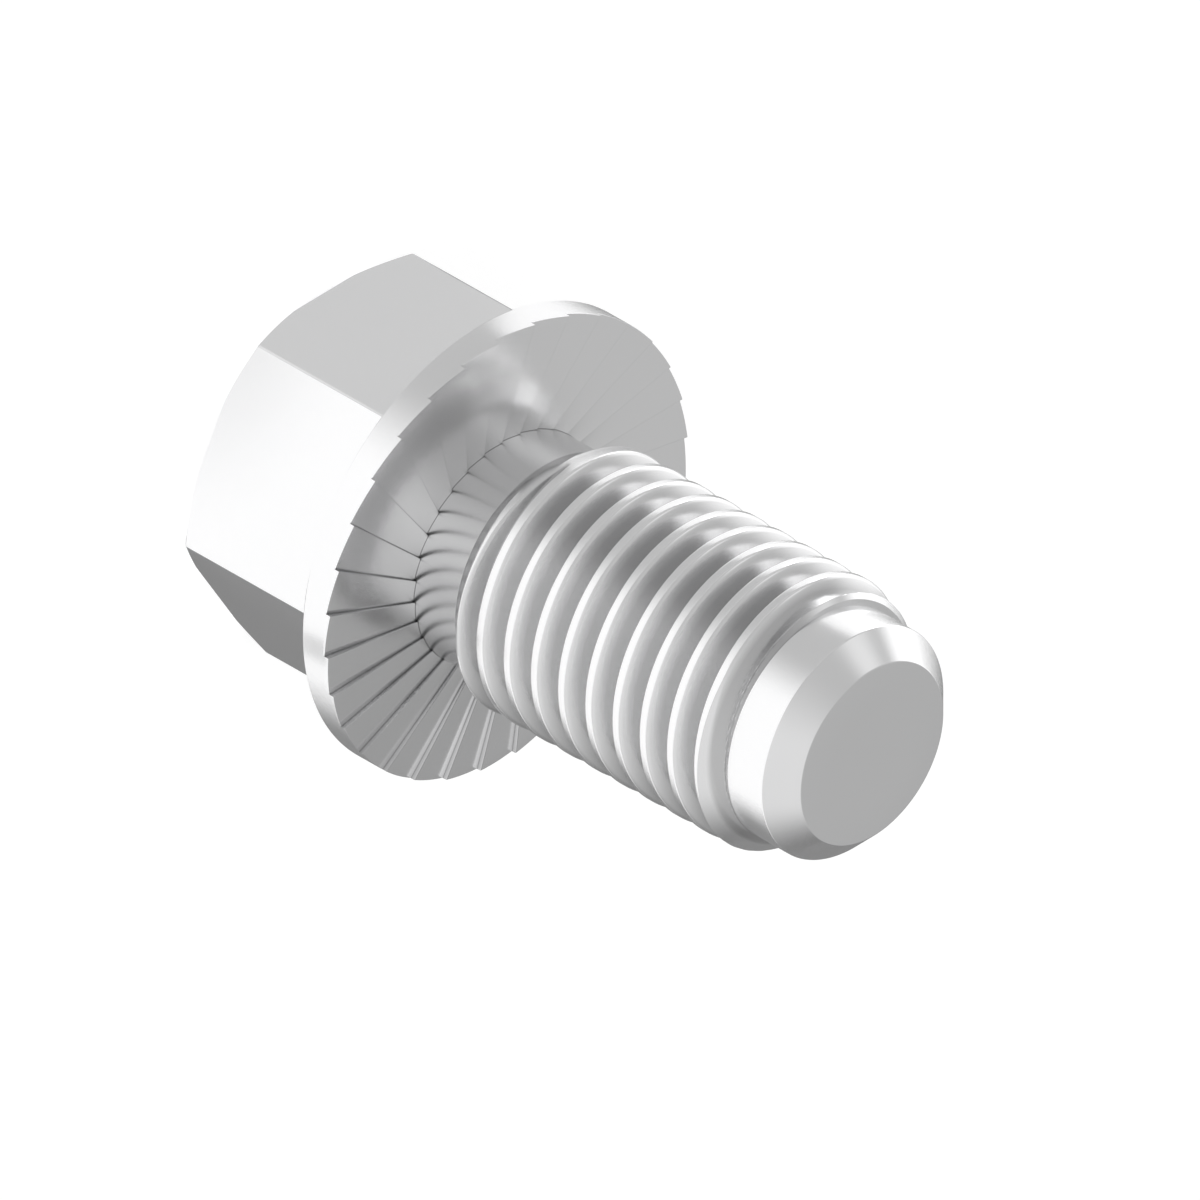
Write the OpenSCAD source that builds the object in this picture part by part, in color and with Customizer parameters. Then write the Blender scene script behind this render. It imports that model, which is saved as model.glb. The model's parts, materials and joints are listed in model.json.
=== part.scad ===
// Hexagon flange bolt with a ratchet-toothed bearing face, fine thread and pilot point.
// The bolt stands on its head: z = 0 is the head's top, and the shank points up along +Z.
// One solid, in millimetres. Angles count anticlockwise about +Z, and a hexagon corner is at 0.

/* [Head] */
// Size across the flats of the hexagon
across_flats = 14.75; // [13:0.25:16]
// Head height, from the head's top to the crests of the bearing face
head_height = 10.1; // [8:0.1:12]
// Diameter of the flat circle on the head's top
head_top_d = 14.5; // [11:0.1:14.6]
// Angle of the head's chamfer, from the plane of the head's top
head_chamfer_angle = 33; // [15:1:40]

/* [Flange] */
// Diameter of the flange
flange_d = 19.85; // [18.6:0.05:24]
// Height of the flange's rim, up to the crests of the bearing face
rim_height = 1.4; // [0.8:0.1:2]
// Slope of the flange's back, from the plane of the seat
flange_back_angle = 25; // [15:1:32]

/* [Bearing face] */
// Number of ratchet teeth
tooth_count = 32; // [20:1:48]
// Depth of a tooth at the rim
tooth_depth = 0.2; // [0.1:0.02:0.4]
// How far each tooth's wall passes beside the bolt's axis
tooth_skew = 1.9; // [0:0.1:3]
// Where a tooth's wall crosses the neck, as an angle from a hexagon corner
tooth_start_angle = 8.3; // [0:0.1:11]

/* [Neck] */
// Diameter of the plain neck under the thread
neck_d = 10; // [9.4:0.1:10.4]
// Length of the neck, from the tooth crests to the first cone of the thread
neck_length = 2.13; // [1.5:0.01:5]
// Radius of the fillet at the foot of the neck
neck_fillet = 0.3; // [0.25:0.01:0.6]

/* [Thread] */
// Outside diameter of the thread
thread_d = 11.67; // [11.5:0.01:12]
// Distance from one turn to the next, right-handed
thread_pitch = 1.5; // [1:0.25:1.75]
// Width of a crest along the axis
crest_width = 0.35; // [0.2:0.01:0.5]
// Radius at the bottom of the groove
root_radius = 0.08; // [0.04:0.01:0.12]
// Angle of the first crest about the axis, where it crosses the thread's lower end
thread_phase = 169; // [0:1:359]
// Angle at which the groove starts to sink in
run_in_angle = 31; // [0:1:359]
// Turn of the bolt over which the groove reaches its depth
run_in_turn = 115; // [20:1:180]
// Flat steps in one turn
thread_steps = 60; // [36:12:72]

/* [Point] */
// Length of the bolt under the head, from the tooth crests to the tip
shank_length = 20.08; // [16:0.01:40]
// Diameter of the plain pilot point
point_d = 10; // [9.6:0.1:10.3]
// Length of the pilot point, with its chamfer
point_length = 2.98; // [2:0.01:5]
// Chamfer at the tip, at 45 degrees
point_chamfer = 1.07; // [0.4:0.01:1.6]

/* [Hidden] */
$fn = 96;

flank_angle = 30;
seat_z = head_height;
tip_z = seat_z + shank_length;
flange_r = flange_d / 2;
rim_z = seat_z - rim_height;
hex_r = across_flats / sqrt(3);
neck_r = neck_d / 2;
thread_r = thread_d / 2;
point_r = point_d / 2;

// The flange's cone runs down inside the hexagon to this radius.
flange_root_r = across_flats / 2 - 0.9;
flange_root_z = rim_z - (flange_r - flange_root_r) * tan(flange_back_angle);

// The neck ends in a 45 degree cone that opens out to the thread's full diameter.
cone_z = seat_z + neck_length;
thread_z = cone_z + thread_r - neck_r;
point_z = tip_z - point_length;

// The bearing face is cut down from a blank that stands a little above the crests.
blank_extra = 0.03;
blank_z = seat_z + blank_extra;
valley_z = seat_z - tooth_depth;
tooth_pitch_angle = 360 / tooth_count;

// Distance along a tooth's wall line to the radius r.
function wall_reach(r) = sqrt(r * r - tooth_skew * tooth_skew);

// Angle between a wall line and the spoke to the point where it crosses radius r.
function wall_lag(r) = asin(tooth_skew / r);

// Width of one tooth at the rim, square to the next tooth's wall.
tooth_w = wall_reach(flange_r) * sin(tooth_pitch_angle) - tooth_skew * (1 - cos(tooth_pitch_angle));
tooth_slope = tooth_depth / tooth_w;
tooth_rise = tooth_depth + 2 * blank_extra;

// Distance along the bolt from the middle of a crest to the tangent point of the root's arc.
root_half = root_radius * cos(flank_angle);
groove_bottom_r = thread_r
    - (thread_pitch / 2 - crest_width / 2) / tan(flank_angle) + root_radius / sin(flank_angle) - root_radius;
thread_depth = thread_r - groove_bottom_r;

// Corners of one turn of thread, as distances along the axis from the middle of the crest.
turn_knots = [
    -crest_width / 2,
    crest_width / 2,
    thread_pitch / 2 - root_half,
    thread_pitch / 2,
    thread_pitch / 2 + root_half
];
// How many times the groove's shift each of these corners moves up where the groove is shallow.
knot_lift = [0, 2, 1, 1, 1];
knots = len(turn_knots);
thread_span = point_z - thread_z;
// The rows of corners stay at least this far apart, and go on past the point's foot by one flank.
row_gap = 0.05;
turns_top = thread_span + thread_pitch / 2;
first_row = -2 * knots;
last_row = knots * (ceil(turns_top / thread_pitch) + 2);

// The threaded length ends just inside the round solids that it joins.
join_inset = 0.01;
join_sink = join_inset / 2;
// The last crests are trimmed to a 45 degree cone, by an outline that stands clear of the others.
trim_clear = 0.05;
runout_z = thread_span - (thread_r - point_r);

// Radius of a full-depth thread at the distance x from the middle of a crest, 0 to one pitch.
function full_turn(x) =
    let (d = thread_pitch / 2 - abs(x - thread_pitch / 2) - crest_width / 2,
         g = abs(x - thread_pitch / 2))
    g < root_half
        ? groove_bottom_r + root_radius - sqrt(root_radius * root_radius - g * g)
        : thread_r - max(0, d) / tan(flank_angle);

// How much of the groove's depth is still missing at a turn angle counted along the helix.
function missing_depth(turn) =
    let (t = min(1, max(0, (turn - run_in_angle) / run_in_turn)))
    thread_depth * (1 - t) * (1 - t);

// A shallow groove keeps to its upper flank, so its middle shifts up, while its rows stay apart.
function groove_shift(turn) =
    min(thread_pitch / 2 - crest_width / 2 - root_half - row_gap, missing_depth(turn) * tan(flank_angle));

// Radius of the threaded length at an angle and a height above its lower end.
function thread_at(angle, z) =
    let (along = z - thread_pitch * (angle - thread_phase) / 360,
         turn = floor(along / thread_pitch),
         x = along - turn * thread_pitch,
         wound = angle + 360 * turn)
    min(thread_r, full_turn(x - groove_shift(wound)) + missing_depth(wound));

// Height of a row of corners at one step round the bolt.
function row_z(row, step) =
    let (turn = floor(row / knots),
         knot = row - knots * turn,
         wound = step * 360 / thread_steps + 360 * turn)
    thread_pitch * (wound - thread_phase) / 360 + turn_knots[knot] + knot_lift[knot] * groove_shift(wound);

// Number of a corner in the list: the two end rings come first, then the rows between them.
function corner(row, step) =
    step == thread_steps ? corner(row + knots, 0)
    : row_z(row, step) <= join_inset ? step
    : row_z(row, step) >= turns_top - join_inset ? thread_steps + step
    : (row - first_row + 2) * thread_steps + step;

function ring(r, z) = [
    for (step = [0 : thread_steps - 1])
        let (a = step * 360 / thread_steps) [r * cos(a), r * sin(a), z]
];

function thread_corners() = concat(
    ring(thread_r - join_inset, -join_sink),
    ring(thread_r - join_inset, turns_top),
    [
        for (row = [first_row : last_row], step = [0 : thread_steps - 1])
            let (a = step * 360 / thread_steps,
                 z = min(turns_top, max(0, row_z(row, step))),
                 r = thread_at(a, z) - join_inset)
            [r * cos(a), r * sin(a), z]
    ]
);

function is_face(f) = f[0] != f[1] && f[1] != f[2] && f[2] != f[0];

function thread_faces() = concat(
    [[for (step = [0 : thread_steps - 1]) step]],
    [[for (step = [thread_steps - 1 : -1 : 0]) thread_steps + step]],
    [
        for (row = [first_row : last_row - knots - 1], step = [0 : thread_steps - 1])
            let (a = corner(row, step),
                 b = corner(row, step + 1),
                 c = corner(row + 1, step + 1),
                 d = corner(row + 1, step))
            for (f = [[a, c, b], [a, d, c]]) if (is_face(f)) f
    ]
);

// Hexagon with the turned chamfer on its top.
module hexagon() {
    chamfer_reach = flange_r - head_top_d / 2;
    intersection() {
        cylinder(h = rim_z, r = hex_r, $fn = 6);
        rotate_extrude()
            polygon([
                [0, 0],
                [head_top_d / 2, 0],
                [flange_r, chamfer_reach * tan(head_chamfer_angle)],
                [flange_r, seat_z],
                [0, seat_z]
            ]);
    }
}

// Flange blank, with its sloping back and upright rim.
module flange_blank() {
    rotate_extrude()
        polygon([
            [0, flange_root_z],
            [flange_root_r, flange_root_z],
            [flange_r, rim_z],
            [flange_r, blank_z],
            [0, blank_z]
        ]);
}

// One ratchet cut: upright at its wall, and rising from there over the tooth behind it.
module tooth_cut() {
    inner = neck_r * 0.7;
    translate([wall_reach(inner), tooth_skew, 0])
        rotate([90, 0, 90])
            linear_extrude(height = flange_r - inner + 1)
                polygon([
                    [0, valley_z],
                    [0, valley_z + tooth_rise],
                    [-tooth_rise / tooth_slope, valley_z + tooth_rise]
                ]);
}

// Flange with its first n teeth cut, one after another.
module flange(n = tooth_count) {
    if (n == 0)
        flange_blank();
    else
        difference() {
            flange(n - 1);
            rotate(n * tooth_pitch_angle + tooth_start_angle - wall_lag(neck_r))
                tooth_cut();
        }
}

// Neck, with its fillet at the foot and the cone that leads into the thread.
module neck() {
    foot_z = valley_z - tooth_depth / 2;
    rotate_extrude()
        difference() {
            polygon([
                [0, rim_z],
                [neck_r + neck_fillet, rim_z],
                [neck_r + neck_fillet, foot_z],
                [neck_r, foot_z + neck_fillet],
                [neck_r, cone_z],
                [thread_r, thread_z],
                [0, thread_z]
            ]);
            translate([neck_r + neck_fillet, foot_z + neck_fillet])
                circle(r = neck_fillet);
        }
}

// Threaded length: a helix with straight flanks and a rounded root, which starts gradually and is
// trimmed by a cone where it meets the point.
module thread() {
    translate([0, 0, thread_z])
        intersection() {
            polyhedron(points = thread_corners(), faces = thread_faces());
            rotate_extrude()
                polygon([
                    [0, -trim_clear],
                    [thread_r + trim_clear, -trim_clear],
                    [thread_r + trim_clear, runout_z - trim_clear],
                    [point_r - join_sink, thread_span + join_sink],
                    [0, thread_span + join_sink]
                ]);
        }
}

// Plain pilot point with its chamfer.
module pilot_point() {
    translate([0, 0, point_z])
        cylinder(h = point_length - point_chamfer, r = point_r);
    translate([0, 0, tip_z - point_chamfer])
        cylinder(h = point_chamfer, r1 = point_r, r2 = point_r - point_chamfer);
}

module bolt() {
    color("silver")
        union() {
            hexagon();
            flange();
            neck();
            thread();
            pilot_point();
        }
}

bolt();
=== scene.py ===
import json
import math

import bmesh
import bpy
import numpy as np
from mathutils import Matrix, Vector


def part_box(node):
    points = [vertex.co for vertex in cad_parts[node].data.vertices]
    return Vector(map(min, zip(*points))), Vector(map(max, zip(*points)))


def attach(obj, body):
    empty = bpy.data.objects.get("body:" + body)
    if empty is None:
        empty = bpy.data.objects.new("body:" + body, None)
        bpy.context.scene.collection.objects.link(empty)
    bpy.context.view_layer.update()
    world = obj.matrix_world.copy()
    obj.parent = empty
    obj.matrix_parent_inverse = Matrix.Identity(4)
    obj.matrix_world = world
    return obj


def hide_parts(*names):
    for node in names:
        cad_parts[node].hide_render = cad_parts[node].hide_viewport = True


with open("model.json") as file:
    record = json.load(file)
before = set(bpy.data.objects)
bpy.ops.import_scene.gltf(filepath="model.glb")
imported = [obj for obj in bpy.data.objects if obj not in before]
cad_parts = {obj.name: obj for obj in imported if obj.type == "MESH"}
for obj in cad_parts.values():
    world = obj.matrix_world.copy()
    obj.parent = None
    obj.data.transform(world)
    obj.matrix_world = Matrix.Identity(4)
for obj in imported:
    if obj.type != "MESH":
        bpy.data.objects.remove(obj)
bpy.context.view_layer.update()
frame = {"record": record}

# Lengths are in millimetres up to the point where an object is made, and MM takes them to metres.
MM = 0.001

# Sizes that come from the frame.
box_low, box_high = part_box("bolt")
TIP_Z = box_high.z / MM
FLANGE_R = min(-box_low.x, -box_low.y, box_high.x, box_high.y) / MM
MOUNTS = {mount["name"]: mount for mount in frame["record"]["mounts"]}
POINT_R = MOUNTS["pilot_point"]["dims"]["r_mm"]
THREAD_R = MOUNTS["thread"]["dims"]["r_mm"]
SEAT_Z = MOUNTS["bearing_face"]["pos_m"][2] / MM

# Head and flange.
ACROSS_FLATS = 14.75
HEAD_TOP_R = 7.25
HEAD_CHAMFER = math.tan(math.radians(33))
RIM_HEIGHT = 1.4
BACK_SLOPE = math.tan(math.radians(25))

# Ratchet teeth of the bearing face.
TOOTH_COUNT = 32
TOOTH_DEPTH = 0.2
TOOTH_SKEW = 1.9
TOOTH_START = math.radians(8.3)

# Neck, thread and point.
NECK_R = 5.0
NECK_LENGTH = 2.13
PITCH = 1.5
CREST_WIDTH = 0.35
ROOT_RADIUS = 0.08
THREAD_PHASE = math.radians(169)
RUN_IN_ANGLE = math.radians(31)
RUN_IN_TURN = math.radians(115)
FLANK = math.tan(math.radians(30))
POINT_LENGTH = 2.98
POINT_CHAMFER = 1.07

# From LEAD_ANGLE on, the thread's start climbs with a share of the helix, for the turn LEAD_TURN,
# and is back on the plain cone at the turn LEAD_END.
LEAD_ANGLE = math.radians(213)
LEAD_TURN = math.radians(150)
LEAD_END = math.radians(212)
LEAD_CLIMB = 0.75

# The last crest runs out later by RUNOUT_DELAY, on the side round RUNOUT_ANGLE.
RUNOUT_DELAY = 0.25
RUNOUT_ANGLE = math.radians(-15)

# Small radii that soften the edges. NEAR is the side of a crest towards the head, and FAR the side
# towards the tip, which also swells a little.
EDGE = 0.03
WALL_EDGE = 0.012
BACK_FILLET = 0.25
NEAR_SOFT = 0.1
FAR_SOFT = 0.2
FAR_SWELL = 0.12

# A tone is shade painted into the steel's colour, darker in its nooks and 1 on open faces. These
# are the tones of a tooth wall's foot, top and crest, with painted shade and with painted light
# where the wall is lit. That painted light comes and goes between two directions each, in degrees.
SHADED_WALL_TONES = [0.25, 0.5, 0.9]
LIT_WALL_TONES = [0.45, 0.75, 0.35]
LIGHT_COMES = (160, 184)
LIGHT_GOES = (300, 280)

# How far a wall's painted shade reaches before and past it, and the share of it that is lost
# outwards, between two radii.
WALL_SHADE = 0.06
CREST_SHADE = 0.05
WALL_FADE = 0.35
WALL_FADE_RADII = (5.5, 8.5)

# Painted shade: the share that the seat loses beside the neck, the neck's tone, and the shares
# that the neck loses at its foot and at the end of each wall.
NOOK_SHADE = 0.25
NOOK_REACH = 0.7
NECK_PAINTED_SHADE = 0.74
CREASE_SHADE = 0.5
NICK_SHADE = 0.6
NICK_REACH = 0.1

# Painted shade: the tone of the cone, the share that the land before the groove loses, and the
# tones at shares of the groove's depth, which is taken to be LEAST_DEPTH or more.
CONE_PAINTED_SHADE = 0.48
LAND_SHADE = 0.13
FAR_SHADE_TONES = ((0.1, 0.4, 1), (1, 0.72, 0.68))
NEAR_SHADE_TONES = ((0.04, 0.12), (1, 0.62))
LEAST_DEPTH = 0.08

# Each tooth has five columns of the mesh at its wall, then plain ones at equal steps.
BEFORE, FOOT, TOP, CREST, PAST, PLAIN = range(6)
WALL_COLUMNS = 5
PLAIN_COLUMNS = 8

# Radii of the bearing face's rings inside its edge, and the number of rings where the last crests
# run out.
SEAT_RADII = (9.4, 8.8, 8.2, 7.6, 7.0, 6.5, 6.1, 5.8, 5.5, 5.3, 5.15, 5.04)
RUNOUT_RINGS = 40

# Points nearer than this are one, in metres, and faces that meet at more than SHARP_ANGLE keep
# their own shading.
SAME_POINT = 1e-7
SHARP_ANGLE = math.radians(27)

VALLEY_Z = SEAT_Z - TOOTH_DEPTH
RIM_Z = SEAT_Z - RIM_HEIGHT
CONE_Z = SEAT_Z + NECK_LENGTH
THREAD_Z = CONE_Z + THREAD_R - NECK_R
POINT_Z = TIP_Z - POINT_LENGTH
RUNOUT_Z = POINT_Z - (THREAD_R - POINT_R)
FULL_TURN = 2 * math.pi
TOOTH_ANGLE = FULL_TURN / TOOTH_COUNT
SIXTH = math.pi / 3
ROOT_HALF = ROOT_RADIUS * math.cos(math.radians(30))
GROOVE_R = THREAD_R - (PITCH / 2 - CREST_WIDTH / 2) / FLANK + ROOT_RADIUS
THREAD_DEPTH = THREAD_R - GROOVE_R


def smoothed(value, start, end):
    """0 before the start, 1 past the end, and an even curve between them."""
    share = np.clip((value - start) / (end - start), 0, 1)
    return share * share * (3 - 2 * share)


def wall_lag(radius):
    """Angle between a tooth's wall line and the spoke to where it crosses the radius."""
    return math.asin(TOOTH_SKEW / radius)


RIM_TWIST = wall_lag(FLANGE_R) - wall_lag(NECK_R)
TOOTH_WIDTH = (
    math.sqrt(FLANGE_R ** 2 - TOOTH_SKEW ** 2) * math.sin(TOOTH_ANGLE)
    - TOOTH_SKEW * (1 - math.cos(TOOTH_ANGLE))
)
TOOTH_SLOPE = TOOTH_DEPTH / TOOTH_WIDTH

# For each column: the number of its wall, its kind, how far it is on the way to the next wall, and
# its angle.
WALLS = np.repeat(np.arange(TOOTH_COUNT), WALL_COLUMNS + PLAIN_COLUMNS)
KINDS = np.tile([BEFORE, FOOT, TOP, CREST, PAST] + [PLAIN] * PLAIN_COLUMNS, TOOTH_COUNT)
STEPS = np.tile([0] * WALL_COLUMNS + list(range(1, PLAIN_COLUMNS + 1)), TOOTH_COUNT)
SHARES = STEPS / (PLAIN_COLUMNS + 1)
SPOKES = (WALLS + SHARES) * TOOTH_ANGLE + TOOTH_START
COLUMNS = len(SPOKES)
COLUMN_ANGLE = TOOTH_ANGLE / (PLAIN_COLUMNS + 1)


class Skin:
    """A closed surface, made of rings of points from the middle of the head's top to the tip's."""

    def __init__(self):
        self.rings = []
        # Painted shade of each ring's points, 1 where none is painted.
        self.painted_shades = []
        # How many rings further on each ring's last column meets the first one.
        self.turns = []

    def ring(self, radius, height, angle=SPOKES, turn=0, painted_shade=1.0):
        """Adds a ring, whose last column meets the first one that many turns further on."""
        radius = np.broadcast_to(radius, angle.shape)
        height = np.broadcast_to(height, angle.shape)
        across, along = radius * np.cos(angle), radius * np.sin(angle)
        self.rings.append(np.stack([across, along, height], axis=1))
        self.painted_shades.append(np.broadcast_to(painted_shade, angle.shape))
        self.turns.append(turn)

    def build(self, name):
        """Mesh of the rings, with the points that fall together made one."""
        points = np.concatenate(self.rings) * MM
        faces = []
        for level in range(len(self.rings) - 1):
            for column in range(COLUMNS):
                low, high = level, level + 1
                beside = column + 1
                if beside == COLUMNS:
                    beside = 0
                    low += self.turns[level]
                    high += self.turns[level + 1]
                faces.append((
                    level * COLUMNS + column, low * COLUMNS + beside,
                    high * COLUMNS + beside, (level + 1) * COLUMNS + column))
        mesh = bpy.data.meshes.new(name)
        mesh.from_pydata(points.tolist(), [], faces)
        # Each point's painted shade goes with the mesh and darkens the steel's colour.
        painted_shade = mesh.attributes.new("painted_shade", "FLOAT", "POINT")
        painted_shade.data.foreach_set("value", np.concatenate(self.painted_shades).astype(np.float32))
        work = bmesh.new()
        work.from_mesh(mesh)
        bmesh.ops.remove_doubles(work, verts=work.verts, dist=SAME_POINT)
        bmesh.ops.recalc_face_normals(work, faces=work.faces)
        for face in work.faces:
            face.smooth = True
        work.to_mesh(mesh)
        work.free()
        set_normals(mesh)
        return mesh


def set_normals(mesh):
    """Smooths the shading by area over faces that meet at a shallow angle, so flats stay flat."""
    faces = len(mesh.polygons)
    normals, areas = np.empty(faces * 3), np.empty(faces)
    mesh.polygons.foreach_get("normal", normals)
    mesh.polygons.foreach_get("area", areas)
    normals = normals.reshape(-1, 3)
    sides, points = np.empty(faces, int), np.empty(len(mesh.loops), int)
    mesh.polygons.foreach_get("loop_total", sides)
    mesh.loops.foreach_get("vertex_index", points)
    owners = np.repeat(np.arange(faces), sides)
    order = np.argsort(points, kind="stable")
    smooth = np.empty((len(points), 3))
    for corners in np.split(order, np.flatnonzero(np.diff(points[order])) + 1):
        around = normals[owners[corners]]
        shares = (around @ around.T > math.cos(SHARP_ANGLE)) * areas[owners[corners]]
        smooth[corners] = shares @ around
    lengths = np.linalg.norm(smooth, axis=1, keepdims=True)
    smooth = np.where(lengths > 0, smooth, normals[owners]) / np.where(lengths > 0, lengths, 1)
    mesh.normals_split_custom_set(smooth.tolist())


def flat_distance(angle):
    """Distance to the side of the hexagon, which has a blunted corner at angle 0."""
    off_middle = np.mod(angle, SIXTH) - SIXTH / 2
    return np.minimum(ACROSS_FLATS / 2 / np.cos(off_middle), ACROSS_FLATS / math.sqrt(3) - EDGE)


def add_head(skin):
    """Head's top, chamfer, flats and the flange's back."""
    # The columns are turned by a whole number of steps, to have one at each corner.
    start = round((TOOTH_START + RIM_TWIST) / COLUMN_ANGLE) * COLUMN_ANGLE
    even = SPOKES - TOOTH_START + start
    side = np.floor(even / SIXTH + 1e-6)
    place = even / SIXTH - side
    # Share of a side over which its corner is blunted.
    blunt = EDGE / (ACROSS_FLATS / 3) / SIXTH
    step = COLUMN_ANGLE / SIXTH
    inner = np.clip((place - step) / (1 - 2 * step), 0, 1) * (1 - 2 * blunt) + blunt
    at_corner = (place < step / 2) | (place > 1 - step / 2)
    angle = SIXTH * (side + np.where(at_corner, np.round(place), inner))

    for radius in (0, 2, 4, 6, HEAD_TOP_R - EDGE):
        skin.ring(radius, 0, angle)
    flat_r = flat_distance(angle)
    for share in (0.1, 0.6, 0.97):
        radius = HEAD_TOP_R + (flat_r - HEAD_TOP_R) * share
        skin.ring(radius, (radius - HEAD_TOP_R) * HEAD_CHAMFER, angle)
    edge_z = (flat_r - HEAD_TOP_R) * HEAD_CHAMFER + EDGE
    back_z = RIM_Z - (FLANGE_R - flat_r) * BACK_SLOPE
    for share in (0, 0.1, 0.3, 0.5, 0.7, 0.9):
        skin.ring(flat_r, edge_z + (back_z - BACK_FILLET - edge_z) * share, angle)
    for lean in np.linspace(0, math.pi / 2, 5):
        radius = flat_r + BACK_FILLET * (1 - math.cos(lean))
        rise = BACK_FILLET * (1 + BACK_SLOPE) * math.sin(lean)
        skin.ring(radius, back_z - BACK_FILLET + rise, angle)
    outer = FLANGE_R - EDGE
    for share in (0.2, 0.4, 0.6, 0.8, 1):
        radius = flat_r + BACK_FILLET + (outer - flat_r - BACK_FILLET) * share
        turned = angle + (SPOKES + RIM_TWIST - angle) * share
        skin.ring(radius, RIM_Z - (FLANGE_R - radius) * BACK_SLOPE, turned)


def add_rim(skin):
    """Upright rim of the flange."""
    for height in (EDGE, 0.4, 0.8, RIM_HEIGHT - TOOTH_DEPTH - 2 * EDGE):
        skin.ring(FLANGE_R, RIM_Z + height, SPOKES + RIM_TWIST)


def seat_height(radius, angle):
    """Height of the bearing face at the columns, each on the tooth that ends at its next wall."""
    next_line = (WALLS + 1) * TOOTH_ANGLE + TOOTH_START - wall_lag(NECK_R)
    next_line = next_line - (KINDS == BEFORE) * TOOTH_ANGLE
    height = VALLEY_Z + TOOTH_SLOPE * (TOOTH_SKEW - radius * np.sin(angle - next_line))
    height = height - WALL_EDGE * (KINDS == TOP)
    return np.where(KINDS == FOOT, VALLEY_Z, height)


def add_seat(skin):
    """Bearing face, from the rim's edge in to the neck."""
    profile = [(FLANGE_R, EDGE), (FLANGE_R - 0.3 * EDGE, 0.3 * EDGE), (FLANGE_R - EDGE, 0)]
    profile += [(radius, 0) for radius in SEAT_RADII]
    is_wall = [KINDS == FOOT, KINDS == TOP, KINDS == CREST]
    # Painted light on the walls' lit side, painted shade on the rest and beside the neck.
    lit = smoothed(np.degrees(SPOKES), *LIGHT_COMES) * smoothed(np.degrees(SPOKES), *LIGHT_GOES)
    in_shade = np.select(is_wall, SHADED_WALL_TONES, 1.0)
    in_light = np.select(is_wall, LIT_WALL_TONES, 1.0)
    wall_light_and_shade = in_shade * (1 - lit) + in_light * lit
    nook = NOOK_SHADE * np.where((KINDS == BEFORE) | (KINDS == FOOT), 1, SHARES ** 2)
    beside_wall = [KINDS == BEFORE, KINDS == CREST, KINDS == PAST]
    past_wall = np.select(beside_wall, [-WALL_SHADE, WALL_EDGE, WALL_EDGE + CREST_SHADE], 0.0)
    for radius, drop in profile:
        painted_shade = 1 - (1 - wall_light_and_shade) * (1 - WALL_FADE * smoothed(radius, *WALL_FADE_RADII))
        painted_shade = painted_shade * (1 - nook * math.exp((NECK_R - radius) / NOOK_REACH))
        angle = SPOKES + wall_lag(radius) - wall_lag(NECK_R) + past_wall / radius
        skin.ring(radius, seat_height(radius, angle) - drop, angle, painted_shade=painted_shade)


def add_neck(skin):
    """The neck from its crease at the teeth's ends, and the cone that opens out to the thread."""
    foot_z = seat_height(NECK_R, SPOKES)
    mean_foot_z = SEAT_Z - TOOTH_DEPTH / 2
    neck_rise = NECK_LENGTH + TOOTH_DEPTH / 2 - EDGE
    level_reach = 0.3
    for rise in (0.0, 0.02, 0.06, 0.13, 0.25, 0.5, 1.0, neck_rise):
        zigzag = math.exp(-rise / level_reach) * (1 - rise / neck_rise)
        height = mean_foot_z * (1 - zigzag) + foot_z * zigzag + rise
        # Painted shade in the crease at the foot and at each wall's end, over the neck's painted
        # shade.
        nick = (KINDS != PLAIN) * math.exp(-rise / NICK_REACH)
        painted_shade = NECK_PAINTED_SHADE * (1 - NICK_SHADE * nick) * (1 - CREASE_SHADE * (rise == 0))
        skin.ring(NECK_R, height, painted_shade=painted_shade)
    for share in (0.04, 0.15, 0.3, 0.45, 0.6, 0.75, 0.9, 1.0):
        height = CONE_Z + (THREAD_Z - CONE_Z) * share
        skin.ring(lead_radius(SPOKES, height), height, painted_shade=CONE_PAINTED_SHADE)


def lead_rise(angle):
    """How far up the thread's start has climbed: it follows the first crest, then drops back."""
    turned = np.mod(angle - LEAD_ANGLE, FULL_TURN)
    return LEAD_CLIMB * PITCH * turned / FULL_TURN * smoothed(turned, LEAD_END, LEAD_TURN)


def lead_radius(angle, height):
    """Radius of the cone that leads into the thread."""
    cone = NECK_R + height - CONE_Z - lead_rise(angle)
    return np.maximum(soft_min(cone, THREAD_R, EDGE), NECK_R)


def missing_depth(wound):
    """How much of the groove's depth is missing, at an angle counted along the helix."""
    share = np.clip((wound - RUN_IN_ANGLE) / RUN_IN_TURN, 0, 1)
    return THREAD_DEPTH * (1 - share) ** 2


def groove_shift(wound):
    """A shallow groove keeps to its upper flank, so its middle shifts up."""
    return np.minimum(PITCH / 2 - CREST_WIDTH / 2 - ROOT_HALF - EDGE, missing_depth(wound) * FLANK)


def soft_min(first, second, soft):
    """The lesser of two values, rounded off where they are nearer to each other than soft."""
    blend = np.clip(soft - np.abs(first - second), 0, None)
    return np.minimum(first, second) - blend ** 2 / soft / 4


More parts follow.
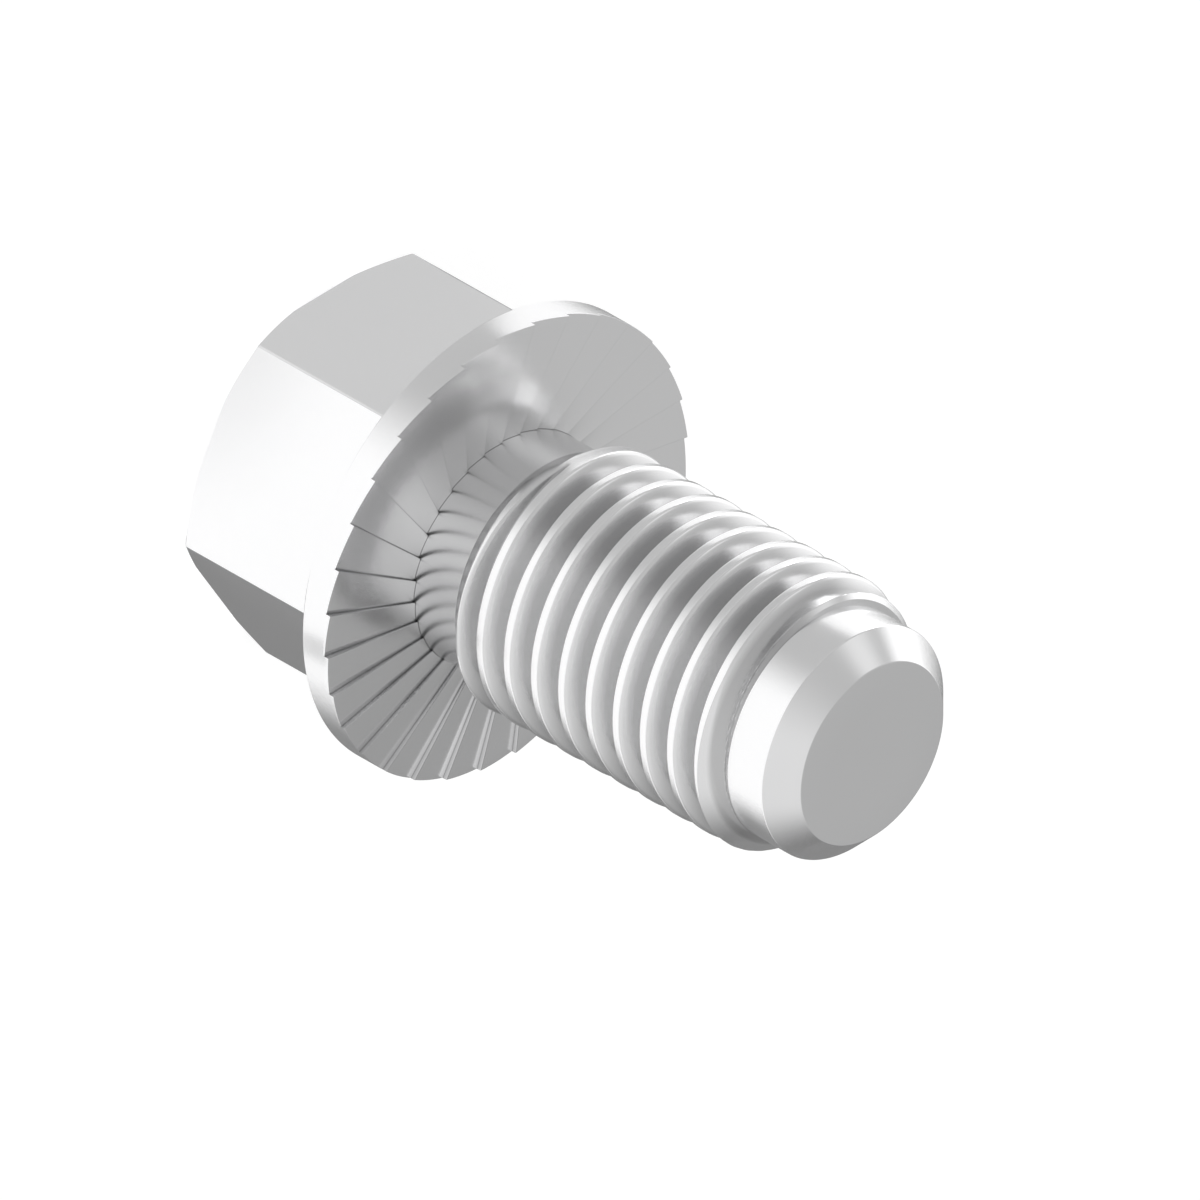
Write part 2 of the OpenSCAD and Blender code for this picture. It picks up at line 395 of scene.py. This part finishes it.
def turned_groove(angle, height):
    """Radius of the thread, whether its flank there faces the head, and the depth of its groove."""
    along = height - THREAD_Z - PITCH * (angle - THREAD_PHASE) / FULL_TURN
    turn = np.floor(along / PITCH)
    wound = angle + FULL_TURN * turn
    past_root = along - turn * PITCH - groove_shift(wound) - PITCH / 2
    from_root = np.abs(past_root)
    flank = GROOVE_R - ROOT_RADIUS + from_root / FLANK
    root = GROOVE_R + ROOT_RADIUS - np.sqrt(np.clip(ROOT_RADIUS ** 2 - from_root ** 2, 0, None))
    missing = missing_depth(wound)
    depth_share = np.clip((flank - GROOVE_R) / THREAD_DEPTH, 0, 1.1)
    flank = flank + FAR_SWELL * (past_root < 0) * depth_share ** 2
    groove = np.where(from_root < ROOT_HALF, root, flank) + missing
    soft = np.where(past_root < 0, FAR_SOFT, NEAR_SOFT) * (1.001 - missing / THREAD_DEPTH)
    return soft_min(groove, THREAD_R, soft), past_root > 0, THREAD_DEPTH - missing


def late_share(angle):
    """The last crest runs out later on one side: 1 at its middle, 0 away from it."""
    return smoothed(np.cos(angle - RUNOUT_ANGLE), 0.4, 0.95)


def thread_radius(angle, height):
    """Radius of the threaded length, trimmed by the cones at its two ends."""
    grooved = turned_groove(angle, height)[0]
    late = RUNOUT_DELAY * late_share(angle)
    cone = np.minimum(THREAD_R - (height - RUNOUT_Z - late), lead_radius(angle, height))
    return np.minimum(grooved, cone)


def thread_painted_shade(height):
    """Painted shade, darker towards the groove's bottom, and on the cone and land before its start.
    """
    radius, faces_head, depth = turned_groove(SPOKES, height)
    share = (THREAD_R - radius) / np.maximum(depth, LEAST_DEPTH)
    start = height - THREAD_Z - lead_rise(SPOKES)
    # The land is the strip between the cone and the first groove.
    land = smoothed(start, 0.75, 0.45) * smoothed(start, 0.08, 0.25)
    groove = np.where(faces_head, np.interp(share, *NEAR_SHADE_TONES), np.interp(share, *FAR_SHADE_TONES))
    painted_shade = groove * (1 - LAND_SHADE * land)
    return CONE_PAINTED_SHADE + (painted_shade - CONE_PAINTED_SHADE) * smoothed(start, -0.03, 0.02)


def turn_places(shift):
    """Rows of one turn, as distances along the bolt from the middle of its crest."""
    near, far = CREST_WIDTH / 2, CREST_WIDTH / 2 + 2 * shift
    root = PITCH / 2 + shift
    near_soft, far_soft = NEAR_SOFT * FLANK, FAR_SOFT * FLANK
    fall, rise = root - ROOT_HALF - far, PITCH - near - root - ROOT_HALF
    fall_soft, rise_soft = np.minimum(far_soft, fall * 0.35), np.minimum(near_soft, rise * 0.35)
    # The crest with its two soft edges, the far flank, the root's arc, then the near flank.
    rows = [-near + near_soft * 0.3, -near + near_soft]
    rows += [far - far_soft * share for share in (1, 0.6, 0.3, 0)]
    rows += [far + fall_soft * share for share in (0.3, 0.6, 1)] + [far + (fall + fall_soft) / 2]
    rows += [root + ROOT_RADIUS * math.sin(math.radians(turn)) for turn in range(-60, 61, 20)]
    rows += [PITCH - near - (rise + rise_soft) / 2]
    return rows + [PITCH - near - rise_soft * share for share in (1, 0.24)]


def add_thread(skin):
    """Rows that follow the helix between two levels, then level rings over the trimmed crests."""
    low, high = THREAD_Z + EDGE * 2, RUNOUT_Z
    least_gap = 0.004
    rows_per_turn = len(turn_places(0.0))
    # The turns go on past both levels, where their rows fall together.
    turns = int((high - low) / PITCH) + 5
    for turn in range(-3, turns):
        wound = SPOKES + FULL_TURN * turn
        for place in turn_places(groove_shift(wound)):
            height = THREAD_Z + PITCH * (wound - THREAD_PHASE) / FULL_TURN + place
            height = np.where(height < low + least_gap, low, height)
            height = np.where(height > high - least_gap, high, height)
            radius = thread_radius(SPOKES, height)
            ahead = 0 if turn == turns - 1 else rows_per_turn
            skin.ring(radius, height, turn=ahead, painted_shade=thread_painted_shade(height))
    for height in np.linspace(RUNOUT_Z, POINT_Z, RUNOUT_RINGS + 2)[1:-1]:
        # The groove's bottom rises to the point, which starts where it ends.
        bottom = POINT_R - 0.1 * smoothed(height, POINT_Z - 0.05, RUNOUT_Z + 0.3)
        painted_shade = thread_painted_shade(height)
        # The painted shade lifts where the last crest runs out late and its groove lies open.
        open_share = late_share(SPOKES) * smoothed(height, RUNOUT_Z + 0.1, RUNOUT_Z + 0.4)
        radius = np.maximum(thread_radius(SPOKES, height), bottom)
        skin.ring(radius, height, painted_shade=painted_shade + (1 - painted_shade) * open_share)


def add_point(skin):
    """Plain point and its chamfer, with edges rounded in steps, and the flat tip."""
    chamfer_z = TIP_Z - POINT_CHAMFER
    tip_r = POINT_R - POINT_CHAMFER
    # The foot ring takes the cone's painted shade, except where the last crest runs out late.
    skin.ring(POINT_R, POINT_Z, painted_shade=CONE_PAINTED_SHADE + (1 - CONE_PAINTED_SHADE) * late_share(SPOKES))
    for height in (POINT_Z + 0.04, POINT_Z + 1, chamfer_z - EDGE):
        skin.ring(POINT_R, height)
    for before, after in ((0.4, 0.4), (0, 1), (0, 10)):
        skin.ring(POINT_R - EDGE * after, chamfer_z + EDGE * (after - before))
    for before, after in ((1, 0), (0.4, 0.4), (0, 1)):
        skin.ring(tip_r + EDGE * (before - after), TIP_Z - EDGE * before)
    for radius in (tip_r * 0.6, tip_r * 0.3, 0):
        skin.ring(radius, TIP_Z)


class Nodes:
    """Short calls for the nodes of one material or world."""

    def __init__(self, owner):
        owner.use_nodes = True
        self.tree = owner.node_tree
        self.tree.nodes.clear()

    def add(self, kind, inputs=None, **settings):
        node = self.tree.nodes.new(kind)
        for name, value in settings.items():
            setattr(node, name, value)
        for name, value in (inputs or {}).items():
            if isinstance(value, bpy.types.NodeSocket):
                self.tree.links.new(value, node.inputs[name])
            else:
                node.inputs[name].default_value = value
        return node

    def math(self, operation, *values):
        return self.add("ShaderNodeMath", dict(enumerate(values)), operation=operation).outputs[0]

    def smooth(self, value, start, end, low, high):
        inputs = {"Value": value, "From Min": start, "From Max": end, "To Min": low, "To Max": high}
        node = self.add("ShaderNodeMapRange", inputs, interpolation_type="SMOOTHSTEP")
        return node.outputs["Result"]

    def noise(self, place, scale, detail):
        inputs = {"Vector": place, "Scale": scale, "Detail": detail}
        return self.add("ShaderNodeTexNoise", inputs).outputs["Fac"]

    def mix(self, factor, first, second):
        inputs = {0: factor, 2: first, 3: second}
        return self.add("ShaderNodeMix", inputs, data_type="FLOAT").outputs[0]


def steel():
    """Smooth zinc-grey steel, with a fine uneven sheen, its colour darkened by the points' painted
    shade.
    """
    material = bpy.data.materials.new("bolt_steel")
    nodes = Nodes(material)
    place = nodes.add("ShaderNodeTexCoord").outputs["Object"]
    grain = nodes.noise(place, 2500.0, 4.0)
    cloud = nodes.noise(place, 180.0, 2.0)
    roughness = nodes.add("ShaderNodeMapRange", {
        "Value": cloud, "From Min": 0.3, "From Max": 0.7, "To Min": 0.18, "To Max": 0.24})
    bump = nodes.add("ShaderNodeBump", {"Height": grain, "Strength": 0.05, "Distance": 0.00002})
    # Painted shade: the points' tone mixes the colour down towards black.
    painted_shade = nodes.add("ShaderNodeAttribute", attribute_name="painted_shade").outputs["Fac"]
    painted_shades = {0: painted_shade, 6: (0, 0, 0, 1), 7: (0.95, 0.95, 0.955, 1)}
    colour = nodes.add("ShaderNodeMix", painted_shades, data_type="RGBA")
    shader = nodes.add("ShaderNodeBsdfPrincipled", {
        "Base Color": colour.outputs[2], "Metallic": 1.0,
        "Roughness": roughness.outputs["Result"], "Normal": bump.outputs["Normal"]})
    nodes.add("ShaderNodeOutputMaterial", {"Surface": shader.outputs[0]})
    return material


def add_bolt():
    """The whole bolt, as one piece that stands for the CAD solid."""
    skin = Skin()
    add_head(skin)
    add_rim(skin)
    add_seat(skin)
    add_neck(skin)
    add_thread(skin)
    add_point(skin)
    mesh = skin.build("flange_bolt")
    bolt = bpy.data.objects.new("flange_bolt", mesh)
    bpy.context.scene.collection.objects.link(bolt)
    mesh.materials.append(steel())
    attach(bolt, "root")
    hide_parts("bolt")


# The camera looks along the photo's parallel view, and VIEW is the direction to it. AXIS_LEAN is
# the part of the bolt's axis that points to the camera, and AXIS_SHOWN the part that lies in the
# picture. EAST is the direction on the floor that points to the camera, and WEST is square to it,
# up and to the right in the picture. AIM_Z is the height of the picture's middle on the axis.
AXIS_LEAN = 0.5835
AXIS_SHOWN = 0.8121
EAST = Vector((0.2728, 0.9620, 0)).normalized()
WEST = Vector((EAST.y, -EAST.x, 0))
UP = Vector((0, 0, 1))
VIEW = EAST * AXIS_SHOWN + UP * AXIS_LEAN
PICTURE_TURN = math.radians(29.47)
PICTURE_MM = 1200 / 25.65
AIM_Z = 15.18
CAMERA_AWAY = 150

# Level of the room's light, and of its lamps: the direction in (WEST, EAST, UP), the angles between
# which its edge fades, in degrees, and its level. The later ones lie over the earlier.
ROOM_LEVEL = 0.505
LAMPS = [
    # The large soft box, high up, and a lamp high up across from it.
    ((-0.75, 0.35, 0.60), 25, 80, 0.735),
    ((0.825, -0.01, 0.565), 2, 20, 0.84),
    # A bright lamp low down, behind the bolt.
    ((0.70, -0.70, 0.12), 16, 30, 1.15),
    # The dim side away from the camera.
    ((-0.50, -0.86, 0.0), 5, 58, 0.2),
    ((0.0, -0.95, 0.3), 0, 25, 0.3),
    # A bright side low down by the camera.
    ((-0.45, 0.90, 0.0), 5, 55, 1.0),
]

# Half the width of the floor, the points along a card's side, and half the width that a card would
# have if all its steps were as fine as those in its middle.
FLOOR_REACH = 1500
CARD_STEPS = 241
CARD_FINE = 60


def add_camera():
    """Camera at the photo's angle, turned so that the bolt runs down to the right."""
    down_axis = UP * AXIS_SHOWN - EAST * AXIS_LEAN
    right = down_axis * math.cos(PICTURE_TURN) + WEST * math.sin(PICTURE_TURN)
    above = WEST * math.cos(PICTURE_TURN) - down_axis * math.sin(PICTURE_TURN)
    data = bpy.data.cameras.new("camera")
    data.type = "ORTHO"
    data.ortho_scale = PICTURE_MM * MM
    camera = bpy.data.objects.new("camera", data)
    turn = Matrix((right, above, VIEW)).transposed()
    camera.matrix_world = Matrix.Translation((UP * AIM_Z + VIEW * CAMERA_AWAY) * MM) @ turn.to_4x4()
    bpy.context.scene.collection.objects.link(camera)
    bpy.context.scene.camera = camera


def add_sheet(name, places, faces, height, material):
    """A level sheet of the studio, whose points are (west, east) pairs in millimetres."""
    points = [(WEST * west + EAST * east + UP * height) * MM for west, east in places]
    mesh = bpy.data.meshes.new(name)
    mesh.from_pydata([tuple(point) for point in points], [], faces)
    mesh.materials.append(material)
    sheet = bpy.data.objects.new(name, mesh)
    bpy.context.scene.collection.objects.link(sheet)
    return sheet


def floor_material():
    """Pale floor, which the camera and the steel see as white, with the bolt's shadow on it."""
    material = bpy.data.materials.new("floor")
    nodes = Nodes(material)
    path = nodes.add("ShaderNodeLightPath").outputs
    shown = nodes.math("MAXIMUM", path["Is Camera Ray"], path["Is Glossy Ray"])
    shown = nodes.math("MAXIMUM", shown, path["Is Transmission Ray"])
    plain = nodes.add("ShaderNodeBsdfDiffuse", {"Color": (0.85, 0.85, 0.85, 1)}).outputs[0]
    shaded = nodes.add("ShaderNodeBsdfDiffuse", {"Color": (0.4, 0.4, 0.4, 1)}).outputs[0]
    white = nodes.add("ShaderNodeEmission", {"Strength": 0.8}).outputs[0]
    both = nodes.add("ShaderNodeAddShader", {0: shaded, 1: white}).outputs[0]
    mixed = nodes.add("ShaderNodeMixShader", {0: shown, 1: plain, 2: both}).outputs[0]
    nodes.add("ShaderNodeOutputMaterial", {"Surface": mixed})
    material.cycles.emission_sampling = "NONE"
    return material


def add_floor():
    reach = FLOOR_REACH
    corners = [(-reach, -reach), (reach, -reach), (reach, reach), (-reach, reach)]
    add_sheet("floor", corners, [(0, 1, 2, 3)], 0, floor_material())


def card_material(name, level, soft_edged):
    """Even light, which clears away towards the card's edges if they are soft."""
    material = bpy.data.materials.new(name)
    nodes = Nodes(material)
    surface = nodes.add("ShaderNodeEmission", {"Strength": level}).outputs[0]
    if soft_edged:
        covered = nodes.add("ShaderNodeAttribute", attribute_name="cover").outputs["Fac"]
        clear = nodes.add("ShaderNodeBsdfTransparent").outputs[0]
        surface = nodes.add("ShaderNodeMixShader", {0: covered, 1: clear, 2: surface}).outputs[0]
    nodes.add("ShaderNodeOutputMaterial", {"Surface": surface})
    material.cycles.emission_sampling = "NONE"
    return material


def show_in_steel_only(card):
    """The card is there for glossy rays alone, and neither lights nor shades what is matt."""
    card.visible_camera = False
    card.visible_diffuse = False
    card.visible_shadow = False


def add_rim_card():
    """A small pale card beside the head, which the rim shows as a slanted patch."""
    corners = [(-18.2, 8.25), (-21.3, 8.53), (-22.0, 4.66), (-18.9, 5.08)]
    material = card_material("rim_card", 0.5, soft_edged=False)
    show_in_steel_only(add_sheet("rim_card", corners, [(0, 1, 2, 3)], 0.25, material))


def azimuth_about(west, east, apex, lowest):
    """Azimuth from the apex, in degrees from WEST towards EAST, counted up from the lowest."""
    angle = np.degrees(np.arctan2(east - apex[1], west - apex[0]))
    return np.mod(angle - lowest, 360) + lowest


def grey_cover(west, east):
    """Beside the bolt on its far right, and a faint round patch at its apex: painted shadow of the
    head's foot.
    """
    apex_west, apex_east = 2, 8
    edge = 1 + (6 - 0.15 * (west - 20)) * smoothed(west, 18, 20.5)
    azimuth = azimuth_about(west, east, (apex_west, apex_east), -90)
    strength = 0.8 + 0.2 * smoothed(np.hypot(west, east), 17.5, 20)
    inside = smoothed(east - edge, -1, 1) * smoothed(azimuth, 95, 42)
    beside = inside * (west > apex_west) * strength
    painted_foot_shadow = 0.27 * smoothed(np.hypot(west - apex_west, east - apex_east), 9, 0)
    return np.maximum(beside, painted_foot_shadow)


def dark_cover(west, east):
    """On the side away from the soft box, between two soft edges that each turn about an apex."""
    start = azimuth_about(west, east, (-6.0, 5.9), -15)
    end = azimuth_about(west, east, (12.5, 1), 60)
    return smoothed(start, 192, 233) * smoothed(start, 345, 338) * smoothed(end, 317, 260)


def low_cover(west, east):
    """Far out along WEST, where only the thread's grooves see it, by way of both flanks."""
    azimuth = azimuth_about(west, east, (0, 0), -180)
    across = smoothed(azimuth, -44, -32) * smoothed(azimuth, -3, -12)
    return across * smoothed(np.hypot(west, east), 42, 60)


def add_card(name, level, cover, height, reach):
    """A card just over the floor, seen only in the steel, and clear where its cover is 0."""
    shares = np.linspace(-1, 1, CARD_STEPS)
    places = shares * (CARD_FINE + (reach - CARD_FINE) * np.abs(shares) ** 3)
    west, east = np.meshgrid(places, places)
    faces = [
        (first, first + 1, first + 1 + CARD_STEPS, first + CARD_STEPS)
        for first in range(west.size - CARD_STEPS) if first % CARD_STEPS < CARD_STEPS - 1]
    material = card_material(name, level, soft_edged=True)
    card = add_sheet(name, zip(west.flat, east.flat), faces, height, material)
    attribute = card.data.attributes.new("cover", "FLOAT", "POINT")
    attribute.data.foreach_set("value", cover(west, east).ravel().astype(np.float32))
    show_in_steel_only(card)


def add_world():
    """Studio room: an even grey, with soft lamps and dim sides over it."""
    world = bpy.data.worlds.new("studio")
    bpy.context.scene.world = world
    nodes = Nodes(world)
    toward = nodes.add("ShaderNodeTexCoord").outputs["Generated"]
    level = ROOM_LEVEL
    for (west, east, up), inner, outer, lamp_level in LAMPS:
        aim = (WEST * west + EAST * east + UP * up).normalized()
        both = {0: toward, 1: tuple(aim)}
        near = nodes.add("ShaderNodeVectorMath", both, operation="DOT_PRODUCT").outputs["Value"]
        angle = nodes.math("ARCCOSINE", near)
        share = nodes.smooth(angle, math.radians(inner), math.radians(outer), 1.0, 0.0)
        level = nodes.mix(share, level, lamp_level)
    back = nodes.add("ShaderNodeBackground", {"Color": (1, 1, 1, 1), "Strength": level}).outputs[0]
    nodes.add("ShaderNodeOutputWorld", {"Surface": back})


add_bolt()
add_camera()
add_floor()
add_rim_card()
add_card("grey_card", 0.52, grey_cover, 0.2, 300)
add_card("dark_card", 0.25, dark_cover, 0.3, 1200)
add_card("low_light", 2.4, low_cover, 0.4, 1400)
add_world()
bpy.context.scene.view_settings.view_transform = "Standard"
